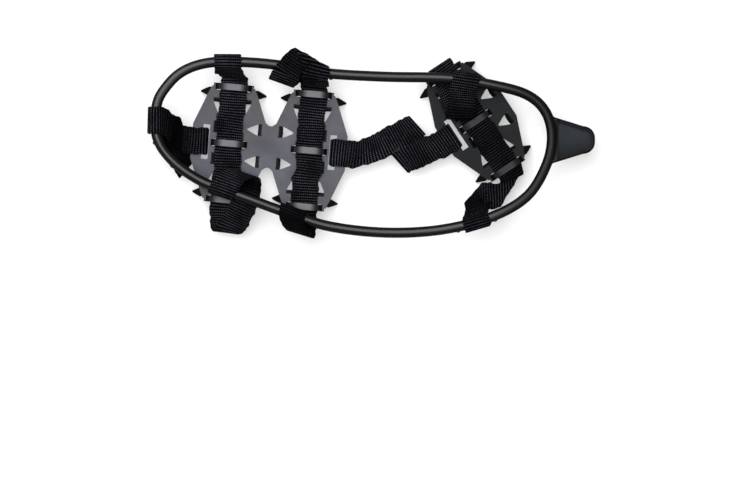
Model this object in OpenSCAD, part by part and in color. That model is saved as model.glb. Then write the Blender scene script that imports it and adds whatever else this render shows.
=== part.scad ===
// Strap-on ice cleat: two toothed steel plates slung in an elastic rubber ring by nylon webbing.
// Lengths in millimetres. +X runs from toe to heel, +Z up to the boot sole, tooth tips at z = 0.

/* [Plates] */
// Thickness of the steel sheet
sheet_t = 1.5; // [1.2:0.1:1.8]
// Height of the sheet's underside above the tooth tips
tooth_drop = 10; // [8:0.5:12]
// Length of one plate half along its strap
half_len = 86; // [80:1:92]
// Width of one plate half across its strap
half_w = 54; // [50:1:58]
// Distance between the two strap lines of the front plate
row_pitch = 58; // [56:1:64]
// Width of the waist between the two notches
waist_w = 30; // [26:1:36]
// Turn of the front plate about the vertical
front_turn = -5; // [-8:1:0]
// Turn of the heel plate about the vertical
heel_turn = 33.5; // [28:0.5:38]

/* [Teeth] */
// Width of a punched tooth at its root
tooth_w = 8.5; // [7:0.5:9]
// Inside radius of a bent tooth root
bend_r = 2.5; // [1.5:0.1:3]
// Cut left round a tooth in its hole
tooth_kerf = 0.4; // [0.3:0.1:0.6]
// Width of a corner tooth at its root
corner_w = 6.5; // [5:0.5:8]
// Reach of a corner tooth past the plate's side
corner_reach = 6.5; // [5:0.5:8]
// Flat width left at a tooth tip
tip_w = 1; // [0.6:0.1:1.5]

/* [Webbing] */
// Width of the webbing
strap_w = 20; // [18:0.5:21]
// Thickness of the webbing
strap_t = 1.4; // [1.2:0.1:1.6]
// Clearance between the webbing and what it lies on
strap_gap = 0.3; // [0.3:0.05:0.4]
// Clearance between a webbing loop and the ring inside it
loop_gap = 0.45; // [0.4:0.05:0.6]
// Room that a bridge leaves over the webbing
bridge_room = 0.3; // [0.3:0.05:0.5]
// Width of a bridge along the strap
bridge_w = 4.6; // [4:0.2:5]
// Rise of a bridge's flat middle over its shoulders
bridge_crown = 0.7; // [0.4:0.1:1]
// Room beside the webbing under a bridge
bridge_side = 0.8; // [0.6:0.1:1.2]
// Length of an end slot
slot_len = 25; // [24.5:0.5:26]
// Width of an end slot
slot_w = 4.8; // [4:0.1:5]
// Width of the rail outside an end slot
rail_w = 7.7; // [7:0.1:8.5]

/* [Ring] */
// Length of the ring's middle line from toe to heel
ring_len = 284; // [278:1:296]
// Diameter of the rubber ring's cord
ring_d = 7.5; // [7:0.1:8]
// Free height between webbing over a bridge and the nubs under the ring
ring_room = 0.1; // [0:0.1:1]
// Diameter of a stop nub
nub_d = 3.8; // [3:0.2:4.4]
// Height of a nub under the ring's underside
nub_proud = 1.15; // [0.8:0.05:1.5]
// Room between a strap loop and each nub
nub_room = 2; // [1.5:0.1:3]
// Reach of the pull tab past the ring's middle line
tab_reach = 31; // [26:1:36]
// Width of the pull tab at its root
tab_root_w = 34; // [30:1:38]
// Width of the pull tab at its tip
tab_tip_w = 20; // [18:1:22]
// Corner radius of the pull tab's tip
tab_tip_r = 8.5; // [6:0.5:9]
// Thickness of the pull tab's rim
tab_t = 5; // [4:0.2:6]

/* [Stitching] */
// Length of a row of stitches
tack_len = 14; // [10:1:16]
// Width of a row of stitches
tack_w = 1.6; // [1:0.2:2]
// Height of the thread over the webbing
tack_t = 0.4; // [0.3:0.1:0.6]

/* [Hidden] */
$fn = 48;

// A longer ring sets the heel side back and stretches what lies between the plates
ring_len_drawn = 284;
stretch_from = 0;
stretch_to = 45;
function stretch(x) =
  let (share = (x - stretch_from) / (stretch_to - stretch_from))
  x + (ring_len - ring_len_drawn) * min(max(share, 0), 1);

// Where the plates sit in the ring
front_at = [-73.7, -2.7];
heel_at = [stretch(75.6), 15.8];

// Heights of the sheet and of webbing that lies on it
sheet_top = tooth_drop + sheet_t;
lay_z = sheet_top + strap_gap + strap_t / 2;
bridge_under = sheet_top + strap_gap + strap_t + bridge_room;
over_bar_z = bridge_under + bridge_crown + sheet_t + strap_gap + strap_t / 2;

// Height of the ring's middle line
ring_low = ring_d / 2 + nub_proud;
ring_z = over_bar_z + strap_t / 2 + strap_gap + ring_room + ring_low;

// Radius of webbing wrapped round a rail or round the ring
rail_slack = 0.3;
rail_r = sheet_t / 2 + strap_gap + strap_t / 2 + rail_slack;
wrap_r = ring_d / 2 + loop_gap + strap_t / 2;
rail_mid_z = tooth_drop + sheet_t / 2;

// Vector helpers
function unit(v) = v / norm(v);
function flat_dir(a) = [cos(a), sin(a), 0];
function spin(p, a) = [p.x * cos(a) - p.y * sin(a), p.x * sin(a) + p.y * cos(a)];
function lift(p, z) = [p.x, p.y, z];
function front_pt(u, v, z) = lift(front_at + spin([u, v], front_turn), z);
function heel_pt(u, v, z) = lift(heel_at + spin([u, v], heel_turn), z);
function low(x, y, h) = [stretch(x), y, sheet_top + h];
function high(x, y, h) = [stretch(x), y, ring_z + h];

// Middle line of the ring: a smooth closed curve through points chosen round the ring
ring_route = [
  [-154, 5], [-154, 27], [-147, 40.5], [-135, 51.5], [-117, 57.5], [-92, 58], [-64, 55.5], [-32, 50],
  [10, 47.5], [55, 46.5], [85, 42], [111, 35], [125, 23], [130, 5], [126, -16], [112, -38.5],
  [86, -53.5], [50, -62.5], [10, -64.5], [-30, -60], [-60, -50.5], [-94, -38], [-122, -27.5], [-143, -12.5]
];
ring_n = len(ring_route);
ring_steps = 5;
ring_sides = 12;

function ring_knot(i) =
  let (p = ring_route[(i + ring_n) % ring_n])
  [stretch(p.x), p.y];
function ring_slope(i) = (ring_knot(i + 1) - ring_knot(i - 1)) / 2;
function ring_pt(t) =
  let (i = floor(t), f = t - i, a = ring_knot(i), b = ring_knot(i + 1))
  let (p = a * (2 * f ^ 3 - 3 * f ^ 2 + 1) + b * (3 * f ^ 2 - 2 * f ^ 3))
  let (q = ring_slope(i) * (f ^ 3 - 2 * f ^ 2 + f) + ring_slope(i + 1) * (f ^ 3 - f ^ 2))
  lift(p + q, ring_z);
function ring_along(t) = unit(ring_pt(t + 0.02) - ring_pt(t - 0.02));
function ring_out(t) = cross(ring_along(t), [0, 0, -1]);
function across(t) = let (d = ring_along(t)) d.x + d.y < 0 ? -d : d;

// Places of the strap loops along the ring
toe_loop = 0.5;
toe_row_top = 4.58;
ball_row_top = 6.7;
heel_top = 9.42;
heel_end = 16.3;
ball_row_end = 19.9;
toe_row_end = 21.42;
loops = [toe_loop, toe_row_top, ball_row_top, heel_top, heel_end, ball_row_end, toe_row_end];
nub_step = strap_w / 2 + nub_room + nub_d / 2;

// A ribbon station is [middle point, direction across the webbing]
function station(p, side) = [p, side];
function front_station(u, v, h, a) = station(front_pt(u, v, sheet_top + h), flat_dir(front_turn + a));
function heel_station(u, v, z, a) = station(heel_pt(u, v, z), flat_dir(heel_turn + a));
function last(list) = list[len(list) - 1];

// A flat stretch for stitching, between two shares of the way from station a to station b
function sewn(a, b, f0, f1) = [
  for (f = [f0, f1])
    station(a[0] + f * (b[0] - a[0]), unit(a[1] + b[1]))
];

// A loop of webbing round the ring's curve: straight across its width, so it clears the ring's bow
function loop_chord(t) =
  let (d = strap_w / 2 / norm(ring_pt(t + 0.5) - ring_pt(t - 0.5)))
  (ring_pt(t + d) + ring_pt(t - d)) / 2;
function loop_mid(t) = (ring_pt(t) + loop_chord(t)) / 2;
function loop_r(t) = wrap_r + norm(ring_pt(t) - loop_chord(t)) / 2;
function loop_pt(t, a) = loop_mid(t) + loop_r(t) * (cos(a) * ring_out(t) + [0, 0, sin(a)]);
function wrap(t, a0, a1, n) = [
  for (i = [0 : n])
    station(loop_pt(t, a0 + (a1 - a0) * i / n), across(t))
];
function wrap_tail(t, a, reach) =
  station(loop_pt(t, a) - reach * (cos(a + 90) * ring_out(t) + [0, 0, sin(a + 90)]), across(t));

// Webbing round a rail, from under the rail, through the slot and out over the rail
rail_in = half_w / 2 - rail_w;
rail_turns = 6;
rail_turn_in = 0.6;
function rail_turn(sgn) = [
  for (i = [0 : rail_turns])
    let (a = -90 - 180 * i / rail_turns)
    [sgn * (rail_in + rail_turn_in + rail_r * cos(a)), rail_mid_z + rail_r * sin(a)]
];
rail_lay_z = rail_mid_z + rail_r;
rail_under_z = rail_mid_z - rail_r;

// Routes of the five straps; each sewn place is named by the number of stations before it
toe_u = -row_pitch / 2;
ball_u = row_pitch / 2;
rail_out = half_w / 2;
sewn_len = 6.5;
toe_side = flat_dir(front_turn + 90);
row_side = flat_dir(front_turn);
row_past = 3.6;
row_end_v = half_len / 2 + row_past;
tail_z = rail_lay_z - strap_t - strap_gap;

toe_wrap = concat(
  [
    station(low(-132, -18, -2.6), flat_dir(50)),
    station(low(-139, -9, -2.4), flat_dir(58)),
    station(low(-146.5, 1.5, 1), flat_dir(72)),
    station(high(-152.3, 10, -6.4), flat_dir(84))
  ],
  wrap(toe_loop, -75, 140, 9)
);
toe_drop_to = front_station(toe_u - rail_out - sewn_len - 4, 5.4, 3.9, 81);
toe_loop_sewn = len(toe_wrap);
toe_slot_sewn = toe_loop_sewn + 3;
toe_strap_route = concat(
  toe_wrap,
  sewn(last(toe_wrap), toe_drop_to, 0.2, 0.75),
  [
    toe_drop_to,
    station(front_pt(toe_u - rail_out - sewn_len, 0, rail_lay_z), toe_side),
    station(front_pt(toe_u - rail_out, 0, rail_lay_z), toe_side)
  ],
  [
    for (i = [rail_turns : -1 : 0])
      let (q = rail_turn(-1)[i])
      station(front_pt(toe_u + q.x, 0, q.y), toe_side)
  ],
  [
    station(front_pt(toe_u - rail_out, 0, rail_under_z), toe_side),
    station(front_pt(toe_u - rail_out - sewn_len, 0, tail_z), toe_side)
  ]
);

toe_row_wrap = concat([wrap_tail(toe_row_top, -75, 10)], wrap(toe_row_top, -75, 143, 9));
toe_row_start = station(front_pt(toe_u, row_end_v, lay_z), row_side);
toe_row_top_sewn = len(toe_row_wrap);
toe_row_end_sewn = toe_row_top_sewn + 14;
toe_row_route = concat(
  toe_row_wrap,
  sewn(last(toe_row_wrap), toe_row_start, 0.25, 0.75),
  [
    toe_row_start,
    station(front_pt(toe_u, half_len / 4, lay_z), row_side),
    station(front_pt(toe_u, -half_len / 4, lay_z), row_side),
    station(front_pt(toe_u, -row_end_v, lay_z), row_side),
    front_station(toe_u, -half_len / 2 - 9, -0.9, 1),
    front_station(toe_u + 1.2, -half_len / 2 - 15, -2.9, 1),
    front_station(toe_u + 2, -half_len / 2 - 19, -3.5, 1),
    front_station(toe_u + 3.2, -half_len / 2 - 21, -2.3, -1),
    front_station(toe_u + 5.1, -half_len / 2 - 19.8, -0.6, -8),
    front_station(toe_u + 8.6, -half_len / 2 - 14.3, 1.1, -19),
    front_station(toe_u + 12.4, -half_len / 2 - 6.4, over_bar_z - sheet_top, -22),
    station([-91, -42, over_bar_z], flat_dir(-25)),
    station([-88.5, -33, over_bar_z], flat_dir(-19)),
    station(high(-88, -27, -4.8), flat_dir(-19)),
    station(high(-89.5, -22.5, -2.6), flat_dir(-19)),
    station(high(-94, -22, 1), flat_dir(-19)),
    station(high(-100, -25.5, 4.2), flat_dir(-19))
  ],
  wrap(toe_row_end, 80, -70, 6)
);

// The free end fans round its inner edge on top of the ring
fan_at = [-49.7, 48.2];
fan_r = strap_w / 2 + 0.6;
function fan_station(a, h) =
  let (p = fan_at + fan_r * [cos(a), sin(a)])
  station(high(p.x, p.y, h), -flat_dir(a));

ball_row_wrap = concat(
  [
    station(high(-39.9, 41.4, -4), flat_dir(175)),
    station(high(-39.9, 43.4, 0.4), flat_dir(175)),
    station(high(-39.9, 45.8, 4.6), flat_dir(178)),
    fan_station(15, 6.9),
    fan_station(50, 6.9),
    fan_station(85, 6.9),
    fan_station(120, 6.7),
    fan_station(148, 6.2),
    station(high(-60.6, 49.6, 5.4), flat_dir(-25)),
    station(high(-63.3, 45.3, 3), flat_dir(-23)),
    station(high(-64.4, 43.2, -0.4), flat_dir(-21)),
    station(high(-63, 44, -4), flat_dir(-15)),
    station(high(-58, 47.5, -7), flat_dir(-12)),
    station(high(-51, 50.5, -6.8), flat_dir(-11))
  ],
  wrap(ball_row_top, -80, 140, 9)
);
ball_row_start = station(front_pt(ball_u, row_end_v, lay_z), row_side);
ball_row_top_sewn = 0;
ball_row_end_sewn = len(ball_row_wrap) + 5;
ball_row_route = concat(
  ball_row_wrap,
  sewn(last(ball_row_wrap), ball_row_start, 0.2, 0.75),
  [
    ball_row_start,
    station(front_pt(ball_u, half_len / 4, lay_z), row_side),
    station(front_pt(ball_u, -half_len / 4, lay_z), row_side),
    station(front_pt(ball_u, -row_end_v, lay_z), row_side),
    station(low(-48.5, -57, 0.9), flat_dir(-14)),
    station(high(-49, -62.5, -8.4), flat_dir(-17)),
    station(high(-50.5, -65.3, -4.5), flat_dir(-17)),
    station(high(-52.5, -64.2, 0.5), flat_dir(-17)),
    station(high(-55, -60.5, 4.4), flat_dir(-17))
  ],
  wrap(ball_row_end, 80, 215, 6)
);

// A flat fold of the webbing back over or under itself
fold_r = strap_t / 2 + strap_gap;
fold_turns = 4;
function fold(p, heading, side, up) = [
  for (i = [0 : fold_turns])
    let (a = -90 + 180 * i / fold_turns)
    station(p + fold_r * (cos(a) * flat_dir(heading) + [0, 0, up * (1 + sin(a))]), flat_dir(side))
];

heel_rail_side = flat_dir(heel_turn + 90);
front_slot_sewn = rail_turns + 3;
heel_slot_sewn = front_slot_sewn + 2 * fold_turns + 10;
connecting_route = concat(
  [
    station(front_pt(ball_u + rail_out + sewn_len, 0, tail_z), toe_side),
    station(front_pt(ball_u + rail_out, 0, rail_under_z), toe_side)
  ],
  [
    for (q = rail_turn(1))
      station(front_pt(ball_u + q.x, 0, q.y), toe_side)
  ],
  [
    station(front_pt(ball_u + rail_out, 0, rail_lay_z), toe_side),
    station(front_pt(ball_u + rail_out + sewn_len, 0, rail_lay_z), toe_side),
    station(low(-1, -5, 0.5), flat_dir(96)),
    station(low(9, -0.5, 0.3), flat_dir(114)),
    station(low(20, 5.5, 0.3), flat_dir(120))
  ],
  fold(low(32.5, 12.2, 0.3), 27, 132, -1),
  [station(low(27, 0, 0.3 - 2 * fold_r), flat_dir(138))],
  fold(low(21.5, -13.5, 0.3 - 2 * fold_r), 235, 132, 1),
  [
    station(low(31, -9.5, 0.3), flat_dir(119)),
    station(low(40, -5, 0.7), flat_dir(120)),
    station(heel_pt(-rail_out - sewn_len, 0, rail_lay_z), heel_rail_side),
    station(heel_pt(-rail_out, 0, rail_lay_z), heel_rail_side)
  ],
  [
    for (i = [rail_turns : -1 : 0])
      let (q = rail_turn(-1)[i])
      station(heel_pt(q.x, 0, q.y), heel_rail_side)
  ],
  [
    station(heel_pt(-rail_out, 0, rail_under_z), heel_rail_side),
    station(heel_pt(-rail_out - sewn_len, 0, tail_z), heel_rail_side)
  ]
);

heel_top_wrap = wrap(heel_top, -70, 95, 6);
heel_top_sewn = len(heel_top_wrap) + 1;
heel_end_fold = heel_station(-27.6, -46.9, sheet_top + 3.5, -91.5);
heel_end_wrap = wrap(heel_end, 140, -75, 8);
heel_end_sewn = heel_top_sewn + 19;
heel_route = concat(
  heel_top_wrap,
  [
    station(high(66, 39, 3.2), flat_dir(-8)),
    station(high(65.5, 33, -1.6), flat_dir(-3)),
    station(high(65, 24, -3.4), flat_dir(-3)),
    station(high(64.5, 18.6, -4.1), flat_dir(0)),
    station(high(64, 17.6, -5.2), flat_dir(2)),
    station([stretch(63.5), 20, over_bar_z], flat_dir(8)),
    heel_station(-4.9, 19, over_bar_z, -13.5),
    heel_station(-3.3, 28.8, over_bar_z + 0.2, -3.5),
    heel_station(0, half_len / 2 - 4, over_bar_z + 0.4, 0),
    heel_station(0, half_len / 2 + 3, over_bar_z + 0.2, 0),
    heel_station(0, half_len / 2 + 5.2, over_bar_z - 1.6, 0),
    heel_station(0, row_end_v, lay_z, 0),
    heel_station(0, half_len / 4, lay_z, 0),
    heel_station(0, -half_len / 4, lay_z, 0),
    heel_station(0, -row_end_v, lay_z, 0),
    heel_station(-2.2, -half_len / 2 - 7, sheet_top + 0.9, -14),
    heel_station(-8.4, -half_len / 2 - 9.9, sheet_top + 1.1, -50),
    heel_station(-16.3, -half_len / 2 - 9.5, sheet_top + 1.5, -95.5),
    heel_station(-22.7, -half_len / 2 - 6.5, sheet_top + 2.1, -117.5),
    heel_end_fold
  ],
  sewn(station(heel_end_fold[0], across(heel_end)), heel_end_wrap[0], 0.5, 0.92),
  heel_end_wrap
);

// A ribbon of webbing through its stations, as one closed skin
function ribbon_normal(route, i) =
  let (a = route[max(i - 1, 0)][0], b = route[min(i + 1, len(route) - 1)][0])
  unit(cross(unit(b - a), route[i][1]));
function ribbon_corners(route, i) =
  let (p = route[i][0], s = route[i][1] * strap_w / 2, n = ribbon_normal(route, i) * strap_t / 2)
  [p - s - n, p + s - n, p + s + n, p - s + n];

module ribbon(route) {
  last = len(route) - 1;
  points = [for (i = [0 : last]) each ribbon_corners(route, i)];
  sides = [
    for (i = [0 : last - 1], k = [0 : 3])
      let (a = 4 * i + k, b = 4 * i + (k + 1) % 4)
      each [[a, b + 4, b], [a, a + 4, b + 4]]
  ];
  far = 4 * last;
  ends = [[0, 1, 2], [0, 2, 3], [far, far + 2, far + 1], [far, far + 3, far + 2]];
  polyhedron(points, concat(sides, ends));
}

// Rows of stitches in the middle of the stretch from station i to the next one
tack_pitch = 2.2 * tack_w;
tack_seat = 0.1;
module tacks(route, i, face) {
  a = route[i];
  b = route[i + 1];
  p = (a[0] + b[0]) / 2;
  s = unit(a[1] + b[1]);
  n = face * unit(cross(b[0] - a[0], s));
  t = cross(n, s);
  color("#26262a")
    multmatrix([
      [s.x, t.x, n.x, p.x],
      [s.y, t.y, n.y, p.y],
      [s.z, t.z, n.z, p.z]
    ])
      for (row = [-1, 1])
        translate([0, row * tack_pitch / 2, strap_t / 2 + tack_seat + tack_t / 2])
          cube([tack_len, tack_w, tack_t], center = true);
}

// Outline of one plate half, with its long side along the strap
shoulder_w = 37;
end_w = 31;
flank_len = 25;
end_trim = 2.2;
sheet_end_v = half_len / 2 - end_trim;
shoulder_v = half_len / 2 - 9;
function half_side() = [
  [end_w / 2, sheet_end_v],
  [shoulder_w / 2, shoulder_v],
  [half_w / 2, flank_len / 2],
  [half_w / 2, -flank_len / 2],
  [shoulder_w / 2, -shoulder_v],
  [end_w / 2, -sheet_end_v]
];
module half_outline() {
  right = half_side();
  left = [for (i = [len(right) - 1 : -1 : 0]) [-right[i].x, right[i].y]];
  polygon(concat(right, left));
}

// A tooth's blank before it is bent: root along X, tip towards +Y
neck_w = 0.32;
neck_at = 0.45;
module tooth_blank(root_w, reach) {
  polygon([
    [-root_w / 2, 0], [root_w / 2, 0],
    [root_w * neck_w, reach * neck_at], [tip_w / 2, reach],
    [-tip_w / 2, reach], [-root_w * neck_w, reach * neck_at]
  ]);
}

// Length of a blank's straight part when its bent tip reaches the ground
blade_len = tooth_drop - bend_r;
hole_past = 1.6;
hole_len = blade_len + hole_past;
cut_h = 4 * sheet_t;
lap = 0.01;

// Teardrop hole that a tooth leaves, root at the origin, tip towards +Y
module tooth_hole() {
  linear_extrude(cut_h, center = true) {
    translate([-tooth_w / 2 - tooth_kerf, -bend_r])
      square([tooth_w + 2 * tooth_kerf, bend_r + lap]);
    tooth_blank(tooth_w + 2 * tooth_kerf, hole_len);
  }
}

// A tooth bent down by the given angle about its root, root at the origin, blank towards +Y
module bent_tooth(root_w, reach, angle, radius) {
  translate([0, -radius, -sheet_t / 2 - radius]) {
    bend(root_w, angle, radius);
    rotate([-angle, 0, 0])
      translate([0, 0, radius])
        linear_extrude(sheet_t)
          tooth_blank(root_w, reach);
  }
}

// The rounded root: a slice of a tube round the bend line
module bend(root_w, angle, radius) {
  translate([-root_w / 2, 0, 0])
    rotate([90, 0, 90])
      rotate([0, 0, 90 - angle])
        rotate_extrude(angle = angle)
          translate([radius, 0])
            square([sheet_t, root_w]);
}

// Places of the eight punched teeth of one half: [u, v, turn], blanks pointing to the strap's middle.
// side is the sign of the half's slotted side
tooth_row_u = 9.5;
tooth_row_in = 12;
tooth_row_v = half_len / 2 - tooth_row_in;
tooth_slot_in = 3.9;
tooth_slot_u = rail_in - slot_w - tooth_slot_in;
tooth_far_in = 5.5;
tooth_far_u = half_w / 2 - tooth_far_in;
tooth_side_v = 11.5;
function teeth_of(side) = [
  for (su = [-1, 1], sv = [-1, 1])
    each [
      [su * tooth_row_u, sv * tooth_row_v, sv > 0 ? 180 : 0],
      [su * (su == side ? tooth_slot_u : tooth_far_u), sv * tooth_side_v, su > 0 ? 90 : -90]
    ]
];

// Corner teeth: [u, v, turn], flared outward
corner_in = 6.5;
corner_out = 1.3;
corner_v = half_len / 2 - corner_in;
corner_u = end_w / 2 + corner_out;
corner_angle = atan2(tooth_drop, corner_reach);
corner_root = 1;
corner_bend_r = 0.8;
corner_len = norm([tooth_drop, corner_reach]) - corner_root;
function corners() = [
  for (su = [-1, 1], sv = [-1, 1])
    [su * corner_u, sv * corner_v, su > 0 ? -90 : 90]
];

// A bridge lanced up out of the sheet, across the strap
bridge_flat = strap_w + 2 * bridge_side;
bridge_rise = bridge_under - sheet_top + sheet_t;
bridge_run = 2.4;
bridge_foot = 1.4;
bridge_taper = 0.6;
bridge_top_w = 13;
bridge_half = bridge_flat / 2 + bridge_run;
module bridge() {
  top = [
    [bridge_half + bridge_foot, sheet_t], [bridge_half, sheet_t],
    [bridge_flat / 2, bridge_rise + sheet_t], [bridge_top_w / 2, bridge_rise + bridge_crown + sheet_t],
    [-bridge_top_w / 2, bridge_rise + bridge_crown + sheet_t], [-bridge_flat / 2, bridge_rise + sheet_t],
    [-bridge_half, sheet_t], [-bridge_half - bridge_foot, sheet_t]
  ];
  under = [
    [-bridge_half - bridge_foot, 0], [-bridge_half + bridge_taper, 0],
    [-bridge_flat / 2, bridge_rise], [-bridge_top_w / 2, bridge_rise + bridge_crown],
    [bridge_top_w / 2, bridge_rise + bridge_crown], [bridge_flat / 2, bridge_rise],
    [bridge_half - bridge_taper, 0], [bridge_half + bridge_foot, 0]
  ];
  rotate([90, 0, 0])
    linear_extrude(bridge_w, center = true)
      polygon(concat(top, under));
}
bridge_end_v = half_len / 2 - bridge_w / 2;

// Window that a bridge leaves in the sheet, open at the plate's ends
window_kerf = 0.4;
window_past = 5.6;
module bridge_window(v, open) {
  window_w = bridge_w + window_kerf + (open == 0 ? window_kerf : window_past);
  translate([0, v + open * (window_past - window_kerf) / 2, 0])
    cube([2 * (bridge_half - bridge_taper), window_w, cut_h], center = true);
}

// Cuts and bent pieces of one half, in its own frame with the sheet's middle plane at z = 0
module half_cuts(side) {
  for (k = teeth_of(side))
    translate([k[0], k[1], 0])
      rotate([0, 0, k[2]])
        tooth_hole();
  bridge_window(0, 0);
  for (s = [-1, 1])
    bridge_window(s * bridge_end_v, s);
  translate([side * (rail_in - slot_w / 2), 0, 0])
    cube([slot_w, slot_len, cut_h], center = true);
}
module half_bends(side) {
  for (k = teeth_of(side))
    translate([k[0], k[1], 0])
      rotate([0, 0, k[2]])
        bent_tooth(tooth_w, blade_len, 90, bend_r);
  for (k = corners())
    translate([k[0], k[1], 0])
      rotate([0, 0, k[2]])
        bent_tooth(corner_w, corner_len, corner_angle, corner_bend_r);
  for (v = [-bridge_end_v, 0, bridge_end_v])
    translate([0, v, -sheet_t / 2])
      bridge();
}

// Sheet of the front plate: two halves and the waist between their notches
waist_lap = 8;
notch_r = 3.4;
module front_outline() {
  for (s = [-1, 1])
    translate([s * row_pitch / 2, 0])
      half_outline();
  difference() {
    square([row_pitch - half_w + waist_lap, waist_w + notch_r], center = true);
    for (s = [-1, 1])
      translate([0, s * (waist_w / 2 + notch_r)])
        circle(notch_r);
  }
}

module front_plate() {
  color("dimgray")
    translate(lift(front_at, rail_mid_z))
      rotate([0, 0, front_turn]) {
        difference() {
          linear_extrude(sheet_t, center = true)
            front_outline();
          for (s = [-1, 1])
            translate([s * row_pitch / 2, 0, 0])
              half_cuts(s);
        }
        for (s = [-1, 1])
          translate([s * row_pitch / 2, 0, 0])
            half_bends(s);
      }
}

module heel_plate() {
  color("darkslategray")
    translate(lift(heel_at, rail_mid_z))
      rotate([0, 0, heel_turn]) {
        difference() {
          linear_extrude(sheet_t, center = true)
            half_outline();
          half_cuts(-1);
        }
        half_bends(-1);
      }
}

// The rubber ring: a round cord swept along the ring route, with nubs and the pull tab
module ring_cord() {
  stations = ring_n * ring_steps;
  points = [
    for (i = [0 : stations - 1], k = [0 : ring_sides - 1])
      let (t = i / ring_steps, a = 360 * k / ring_sides)
      ring_pt(t) + ring_d / 2 * (cos(a) * ring_out(t) + [0, 0, sin(a)])
  ];
  faces = [
    for (i = [0 : stations - 1], k = [0 : ring_sides - 1])
      let (j = (i + 1) % stations, m = (k + 1) % ring_sides)
      let (a = i * ring_sides + k, b = i * ring_sides + m, c = j * ring_sides + m, d = j * ring_sides + k)
      each [[a, c, b], [a, d, c]]
  ];
  polyhedron(points, faces);
}

nub_aside = 2.1;
nub_sides = 24;
module nubs() {
  for (t = loops, s = [-1, 1])
    translate(ring_pt(t) + s * nub_step * ring_along(t))
      translate([0, -nub_aside, nub_d / 2 - ring_low])
        sphere(d = nub_d, $fn = nub_sides);
}

tab_at = 13.15;
tab_root_r = 4;
tab_rim_w = 2.5;
tab_dish = 1;
module tab_outline(inset) {
  hull() {
    for (s = [-1, 1]) {
      translate([0, s * (tab_root_w / 2 - tab_root_r)])
        circle(tab_root_r - inset);
      translate([tab_reach - tab_tip_r, s * (tab_tip_w / 2 - tab_tip_r)])
        circle(tab_tip_r - inset);
    }
  }
}
module pull_tab() {
  translate(ring_pt(tab_at))
    difference() {
      linear_extrude(tab_t, center = true)
        tab_outline(0);
      translate([0, 0, tab_t / 2 - tab_dish])
        linear_extrude(tab_t)
          tab_outline(tab_rim_w);
    }
}

module ring() {
  color("#2a2b2e") {
    ring_cord();
    nubs();
    pull_tab();
  }
}

module toe_strap() {
  color("#141416") ribbon(toe_strap_route);
}
module toe_row_strap() {
  color("#141416") ribbon(toe_row_route);
}
module ball_row_strap() {
  color("#141416") ribbon(ball_row_route);
}
module connecting_strap() {
  color("#141416") ribbon(connecting_route);
}
module heel_strap() {
  color("#141416") ribbon(heel_route);
}

ring();
front_plate();
heel_plate();
toe_strap();
toe_row_strap();
ball_row_strap();
connecting_strap();
heel_strap();
tacks(toe_strap_route, toe_loop_sewn, 1);  // toe_loop_stitching
tacks(toe_strap_route, toe_slot_sewn, 1);  // toe_slot_stitching
tacks(toe_row_route, toe_row_top_sewn, 1);  // toe_row_top_stitching
tacks(toe_row_route, toe_row_end_sewn, 1);  // toe_row_end_stitching
tacks(ball_row_route, ball_row_top_sewn, 1);  // ball_row_top_stitching
tacks(ball_row_route, ball_row_end_sewn, -1);  // ball_row_end_stitching
tacks(connecting_route, front_slot_sewn, 1);  // front_slot_stitching
tacks(connecting_route, heel_slot_sewn, 1);  // heel_slot_stitching
tacks(heel_route, heel_top_sewn, 1);  // heel_top_stitching
tacks(heel_route, heel_end_sewn, 1);  // heel_end_stitching
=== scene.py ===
import math
import bmesh
import bpy
import numpy as np
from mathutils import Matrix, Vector
from mathutils.bvhtree import BVHTree


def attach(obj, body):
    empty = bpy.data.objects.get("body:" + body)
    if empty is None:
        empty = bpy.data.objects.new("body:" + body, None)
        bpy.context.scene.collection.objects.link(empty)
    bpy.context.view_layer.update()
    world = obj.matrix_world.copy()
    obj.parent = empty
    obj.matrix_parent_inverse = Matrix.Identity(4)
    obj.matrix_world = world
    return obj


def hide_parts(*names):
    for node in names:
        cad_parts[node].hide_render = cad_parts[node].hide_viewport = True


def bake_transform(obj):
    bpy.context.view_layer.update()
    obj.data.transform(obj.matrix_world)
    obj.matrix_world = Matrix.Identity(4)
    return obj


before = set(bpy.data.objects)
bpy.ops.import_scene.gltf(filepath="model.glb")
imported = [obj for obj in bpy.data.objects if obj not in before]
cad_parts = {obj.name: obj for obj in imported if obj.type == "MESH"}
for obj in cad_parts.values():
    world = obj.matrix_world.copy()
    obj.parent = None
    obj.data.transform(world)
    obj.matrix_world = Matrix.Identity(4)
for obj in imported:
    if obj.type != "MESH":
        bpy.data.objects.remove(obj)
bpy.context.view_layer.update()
mm = 0.001
print("frame loaded:", len(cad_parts), "solids")


# colours and nodes

def hexLinear(code):
    parts = [int(code[i:i + 2], 16) / 255 for i in (1, 3, 5)]
    return [c / 12.92 if c <= 0.04045 else ((c + 0.055) / 1.055) ** 2.4 for c in parts] + [1.0]


# an input goes by label, or by number as in0, in1; it takes a value, a socket or a node's first output
def setInputs(tree, node, **inputs):
    for key, value in inputs.items():
        numbered = key.startswith("in") and key[2:].isdigit()
        socket = node.inputs[int(key[2:]) if numbered else key.replace("_", " ")]
        if isinstance(value, bpy.types.Node):
            value = value.outputs[0]
        if isinstance(value, bpy.types.NodeSocket):
            tree.links.new(value, socket)
        else:
            socket.default_value = value


# stops are the places and hex codes of a colour ramp
def addNode(tree, kind, settings=None, stops=(), **inputs):
    node = tree.nodes.new(kind)
    for key, value in (settings or {}).items():
        setattr(node, key, value)
    if stops:
        marks = node.color_ramp.elements
        while len(marks) < len(stops):
            marks.new(0.5)
        for mark, (place, code) in zip(marks, stops):
            mark.position = place
            mark.color = hexLinear(code)
    setInputs(tree, node, **inputs)
    return node


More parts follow.
